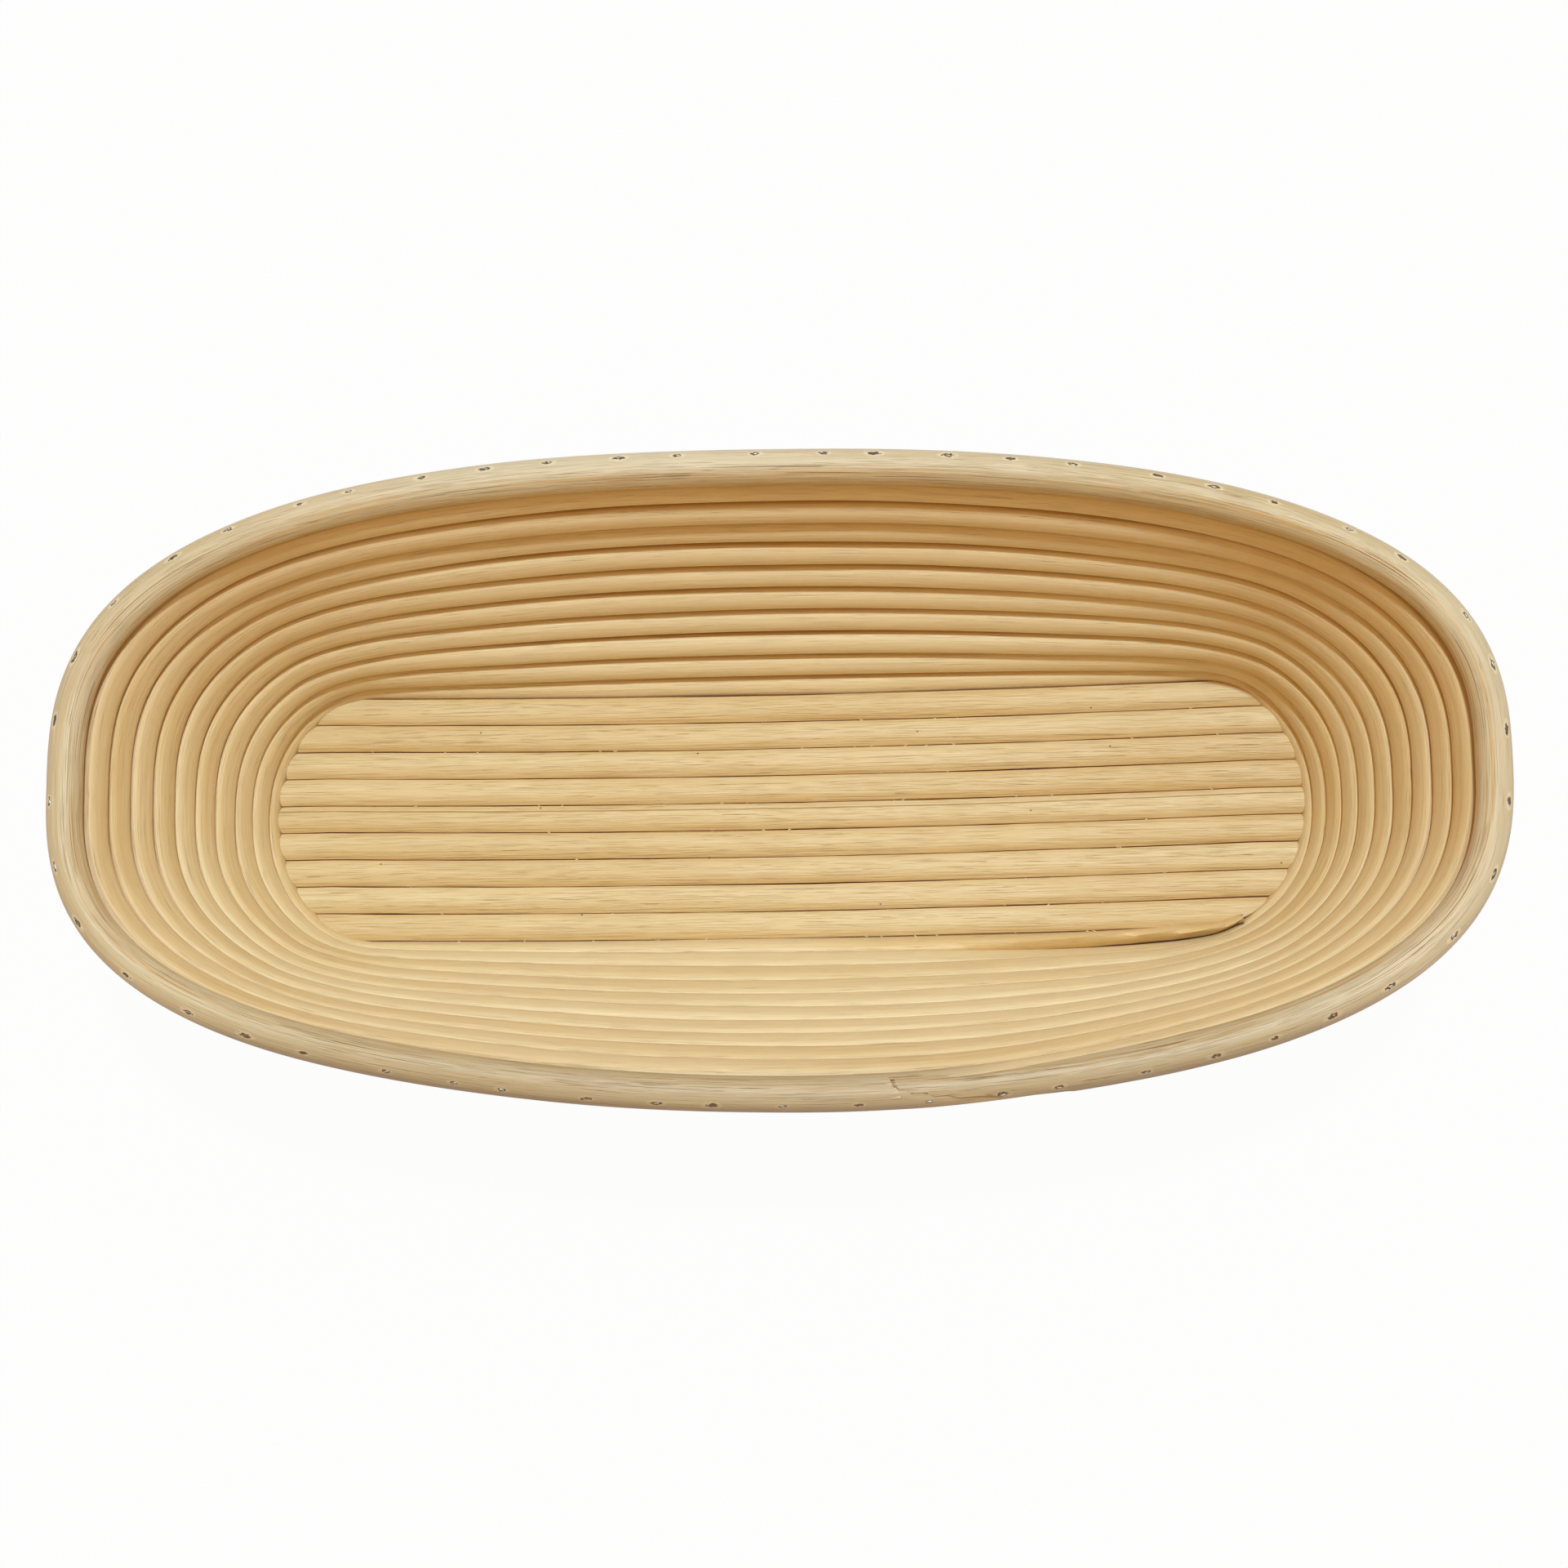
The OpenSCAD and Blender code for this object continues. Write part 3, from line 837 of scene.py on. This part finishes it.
# Places for splinters along each seam, the share of the floor's length they keep to, the seams with most,
# counted from the far side, and the share of places that are taken there and elsewhere.
SEAM_PLACES = 15
SEAM_SHARE = 0.88
TORN_SEAMS = (2, 4, 9)
TORN_SHARE = 0.95
OTHER_SHARE = 0.35
# How deep a splinter of the floor starts, and how far it leans across for its length.
SPLINTER_SINK = 0.1
SPLINTER_ASIDE = 0.6
# Splinters on the tail, and how deep they start.
TAIL_SPLINTERS = 7
TAIL_SINK = 0.15
# Scales per metre of the warmer places of splinters and of the dull spots on steel.
SPLINTER_SCALE = 400.0
STEEL_SCALE = 900.0


def spikes(name, base, tip, finish):
    """A piece of thin spikes: a small three-sided base round each point, closed below, and a tip."""
    points = np.concatenate([base[:, None] + SPIKE_BASE[None], tip[:, None]], 1)
    faces = np.arange(len(base))[:, None, None] * points.shape[1] + SPIKE_FACES[None]
    return add_piece(name, points.reshape(-1, 3), faces.reshape(-1, 3).tolist(), finish)


def seam_splinters(finish):
    """Short pale splinters that stand up beside the floor's seams where staples were driven: each is a thin
    spike from a base at the seam to a tip aslant above it, in pairs that open like a V."""
    rng = np.random.default_rng(31)
    seam = np.repeat(np.arange(1, SLATS + 1), SEAM_PLACES)
    count = len(seam)
    x = rng.uniform(-SEAM_SHARE, SEAM_SHARE, count) * outline_reach(slat_middle(seam + 0.5))
    keep = rng.uniform(0, 1, count) < np.where(np.isin(seam, TORN_SEAMS), TORN_SHARE, OTHER_SHARE)
    seam, x = np.repeat(seam[keep], 2), np.repeat(x[keep], 2)
    count = len(seam)
    lean = np.tile([-1.0, 1.0], count // 2) * rng.uniform(0.5, 1.3, count)
    y = slat_middle(seam + 0.5) + floor_bend(x) + rng.uniform(-0.15, 0.15, count)
    base = np.stack([x, y, np.full(count, SLAT_HIGH - SLAT_CROWN - SPLINTER_SINK)], -1)
    long = rng.uniform(0.5, 1.1, count)
    aside = rng.choice([-SPLINTER_ASIDE, SPLINTER_ASIDE], count) * long
    tip = base + np.stack([lean * long, aside, rng.uniform(0.4, 0.8, count)], -1)
    spikes("seam_splinters", base, tip, finish)


def tail_splinters(finish):
    """Pale splinters on the slanted end of the tail: spikes from its upper inner side, on along the rim."""
    rng = np.random.default_rng(37)
    middle, forward, up, inward, _ = cane_frame(np.array([STOP_TURNED]))
    each = (TAIL_SPLINTERS, 1)
    lean = rng.uniform(0.0, 1.0, each)
    out = up * np.cos(lean) + inward * np.sin(lean)
    base = middle + out * (RIM_R - TAIL_SINK) - forward * rng.uniform(0.5, 2.0, each)
    tip = base + forward * rng.uniform(2.0, 6.0, each) + out * rng.uniform(0.2, 0.8, each)
    tip = tip + np.cross(forward, out) * rng.uniform(-1.2, 1.2, each)
    spikes("tail_splinters", base, tip, finish)


def splinter_finish():
    """Pale torn rattan, a little warmer in places."""
    finish = Finish("torn_rattan")
    tone = finish.mix(finish.noise(finish.place(), SPLINTER_SCALE), PALE_FIBRE_AND_LIGHT, SLAT_PALE)
    return finish.surface(Base_Color=tone, Roughness=0.6)


torn_rattan = splinter_finish()
seam_splinters(torn_rattan)
tail_splinters(torn_rattan)


def steel_finish():
    """Drawn steel wire with small dull spots."""
    finish = Finish("staple_steel")
    spots = finish.noise(finish.place(), STEEL_SCALE, 3.0)
    tone = finish.mix(spots, STEEL_DULL, STEEL_BRIGHT)
    return finish.surface(Base_Color=tone, Metallic=1.0, Roughness=0.3 + spots * 0.25)


staple_steel = steel_finish()
for node_name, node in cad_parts.items():
    if "staples" in node_name:
        node.data.materials.clear()
        node.data.materials.append(staple_steel)

# Crowns of the rim's staples: half length, drop of the two ends and the power of their bend, radius,
# stations along each, and how far each is turned and sunk at most.
CROWN_HALF = 0.9
CROWN_DROP = 0.9
CROWN_BEND = 6
CROWN_R = 0.25
CROWN_STATIONS = 7
CROWN_TURN = 0.35
CROWN_SINK = 0.3
# Hidden staples: about this far apart on the middle turn and round the floor.
MIDDLE_TURN = 6
TURN_STAPLE_STEP = 48.0
EDGE_STAPLE_STEP = 32.0
# Radius of a hidden staple's wire, and the sides of every staple's wire.
WIRE_R = 0.35
WIRE_SIDES = 8
# Line of a hidden staple's wire: distances along the cane and up the wall from the top of its crown.
STAPLE_LINE = np.array([
    [-0.95, -11.0],
    [-0.95, -0.8],
    [-0.85, -0.45],
    [-0.6, -0.35],
    [0.6, -0.35],
    [0.85, -0.45],
    [0.95, -0.8],
    [0.95, -11.0],
])
# Staples round the floor: how far they are sunk, and how far below the cane's middle they lie.
EDGE_SINK = 0.3
EDGE_DROP = 1.2

around_wire = 2 * np.pi * np.arange(WIRE_SIDES) / WIRE_SIDES


def add_staples(name, node, points):
    """A piece of steel staples from the points of their wires, in place of the frame's staples."""
    staples, stations, sides, _ = points.shape
    piece = add_piece(name, points.reshape(-1, 3), tube_faces(stations, sides, staples), staple_steel)
    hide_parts(node)


def rim_staples():
    """Crowns of the rim's staples: rounded bars along the rim, each a small tube with two bent ends.

    Each is sunk and turned a little by its own random amount."""
    rng = np.random.default_rng(23)
    middle, forward, up, inward, _ = cane_frame(np.interp(staple_run, dense_run, dense))
    out = up * math.cos(STAPLE_LEAN) - inward * math.sin(STAPLE_LEAN)
    turn = rng.uniform(-CROWN_TURN, CROWN_TURN, staple_count)[:, None]
    lengthways = forward * np.cos(turn) + np.cross(forward, out) * np.sin(turn)
    aside = np.cross(lengthways, out)
    seat = middle + out * (RIM_R - rng.uniform(0.0, CROWN_SINK, staple_count)[:, None])
    way = np.linspace(-CROWN_HALF, CROWN_HALF, CROWN_STATIONS)
    drop = -CROWN_DROP * np.abs(way) ** CROWN_BEND
    line = seat[:, None] + lengthways[:, None] * way[None, :, None] + out[:, None] * drop[None, :, None]
    wire = (
        aside[:, None, None] * np.cos(around_wire)[None, None, :, None]
        + out[:, None, None] * np.sin(around_wire)[None, None, :, None]
    )
    add_staples("rim_staple_crowns", "rim_staples", line[:, :, None] + CROWN_R * wire)


def wire_staples(name, node, top, along, up):
    """Staples at points, each of round wire along a line of two legs and a crown.

    They follow the visual wall and floor, so that none shows in a groove."""
    across = np.cross(up, along)
    bend = unit(np.gradient(STAPLE_LINE, axis=0))
    beside = (bend[:, ::-1] * [-1, 1])[:, None]
    flat = STAPLE_LINE[:, None] + WIRE_R * np.cos(around_wire)[None, :, None] * beside
    points = top[:, None, None] + along[:, None, None] * flat[None, ..., :1]
    points = points + up[:, None, None] * flat[None, ..., 1:]
    points = points + across[:, None, None] * WIRE_R * np.sin(around_wire)[None, None, :, None]
    add_staples(name, node, points)


def evenly(start, stop, step, shift):
    """Winding angles at about equal distances along the cane between two winding angles."""
    first, last = np.interp([start, stop], dense, dense_run)
    count = round((last - first) / step)
    return np.interp(first + (np.arange(count) + shift) / count * (last - first), dense_run, dense)


def turn_staples(turn):
    """Staples through a turn into the turn below it, half a space on from turn to turn."""
    shift = 0.25 + turn % 2 / 2
    turned = evenly(360 * (MIDDLE_TURN - 1) + CLIMB_SPAN, 360 * MIDDLE_TURN, TURN_STAPLE_STEP, shift)
    turned = turned + 360 * (turn - MIDDLE_TURN)
    middle, forward, _, _, _ = cane_frame(turned)
    up = unit(middle - cane_middle(turned - 360))
    along = unit(forward - up * dot(forward, up))
    wire_staples(f"turn_staples_{turn}", f"wall_staples_{turn}", middle + up * CAD_CANE_R, along, up)


def edge_staples():
    """Staples through the first turn into the slats, level and below the cane's middle."""
    middle, forward, _, inward, _ = cane_frame(evenly(CLIMB_SPAN, 360, EDGE_STAPLE_STEP, 0.5))
    out = unit(inward * [-1, -1, 0])
    along = unit(forward - out * dot(forward, out))
    top = middle + out * (CAD_CANE_R - EDGE_SINK) - [0, 0, EDGE_DROP]
    wire_staples("edge_staples", "floor_edge_staples", top, along, out)


rim_staples()
for turn_number in range(2, TURNS):
    turn_staples(turn_number)
edge_staples()


# Stage: a white floor that keeps a faint shadow, a cool key light from high on the far side, two weak soft
# lights and a warm fill from all round. The floor's half size and its drop are in metres.
STAGE_HALF = 40.0
STAGE_DROP = 0.0003
STAGE_CORNERS = ((-1, -1), (1, -1), (1, 1), (-1, 1))
STAGE_WHITE = 0.97
FILL_TINT = (1, 0.59, 0.23, 1)
FILL_STRENGTH = 0.57


def floor_finish():
    """White to the camera and in reflections, but for a small share that takes shadow.

    It is grey to all other light."""
    finish = Finish("white_floor")
    path = finish.node("ShaderNodeLightPath")
    seen = Value(finish, path.outputs["Is Camera Ray"]) + Value(finish, path.outputs["Is Glossy Ray"])
    seen = (seen + Value(finish, path.outputs["Is Transmission Ray"])).math("MINIMUM", 1.0)
    plain = finish.node("ShaderNodeBsdfDiffuse", None, {"Color": (0.5, 0.5, 0.5, 1)})
    white = finish.node("ShaderNodeEmission", None, {"Color": (1, 1, 1, 1), "Strength": 1.0})
    inputs = {0: seen * STAGE_WHITE, 1: plain.outputs[0], 2: white.outputs[0]}
    shader = finish.node("ShaderNodeMixShader", None, inputs)
    finish.node("ShaderNodeOutputMaterial", None, {"Surface": shader.outputs[0]})
    return finish.material


floor_corners = [(x * STAGE_HALF, y * STAGE_HALF, -STAGE_DROP) for x, y in STAGE_CORNERS]
floor_mesh = bpy.data.meshes.new("studio_floor")
floor_mesh.from_pydata(floor_corners, [], [(0, 1, 2, 3)])
floor_mesh.materials.append(floor_finish())
studio_floor = bpy.data.objects.new("studio_floor", floor_mesh)
bpy.context.scene.collection.objects.link(studio_floor)


def sun(name, towards, strength, spread, tint):
    """A distant light that shines from a direction, with the angle it spreads over in degrees."""
    lamp = bpy.data.lights.new(name, "SUN")
    lamp.color = tint
    lamp.energy = strength
    lamp.angle = math.radians(spread)
    holder = bpy.data.objects.new(name, lamp)
    holder.rotation_mode = "QUATERNION"
    holder.rotation_quaternion = Vector(towards).to_track_quat("Z", "Y")
    bpy.context.scene.collection.objects.link(holder)


sun("key_light", towards=(0.09, 0.25, 0.96), strength=2.2, spread=5, tint=(0.78, 0.96, 1.0))
sun("right_light", towards=(0.7, 0.25, 0.67), strength=0.25, spread=35, tint=(0.4, 0.75, 1.0))
sun("far_light", towards=(0.0, 0.7, 0.7), strength=0.3, spread=40, tint=(0.4, 0.7, 1.0))

world = bpy.data.worlds.new("studio_fill")
world.use_nodes = True
fill = world.node_tree.nodes["Background"]
fill.inputs["Color"].default_value = FILL_TINT
fill.inputs["Strength"].default_value = FILL_STRENGTH
bpy.context.scene.world = world

# Camera: tilts of its view from straight down, roll, distance from the rim's middle in millimetres,
# and focal length and shifts in pixels of the 1920 frame.
TILT_X, TILT_Y = 0.0524, 0.1403
ROLL = math.radians(-1.18)
DISTANCE = 800.0
FOCAL, FRAME = 4092.0, 1920.0
SHIFT_X, SHIFT_Y = -15.1, -14.0
SENSOR_WIDE = 36.0
NEAREST_SEEN = 0.01

back = Vector((TILT_X, -TILT_Y, 1)).normalized()
level_right = (Vector((1, 0, 0)) - back * back.x).normalized()
level_up = back.cross(level_right)
right = level_right * math.cos(ROLL) + level_up * math.sin(ROLL)
upward = level_up * math.cos(ROLL) - level_right * math.sin(ROLL)
lens = bpy.data.cameras.new("camera")
lens.sensor_width = SENSOR_WIDE
lens.lens = FOCAL / FRAME * SENSOR_WIDE
lens.shift_x, lens.shift_y = -SHIFT_X / FRAME, SHIFT_Y / FRAME
lens.clip_start = NEAREST_SEEN
camera = bpy.data.objects.new("camera", lens)
stand_point = (Vector((0, 0, RIM_Z)) + back * DISTANCE) * MILLIMETRE
camera.matrix_world = Matrix.Translation(stand_point) @ Matrix((right, upward, back)).transposed().to_4x4()
bpy.context.scene.collection.objects.link(camera)
bpy.context.scene.camera = camera
bpy.context.scene.view_settings.view_transform = "Standard"
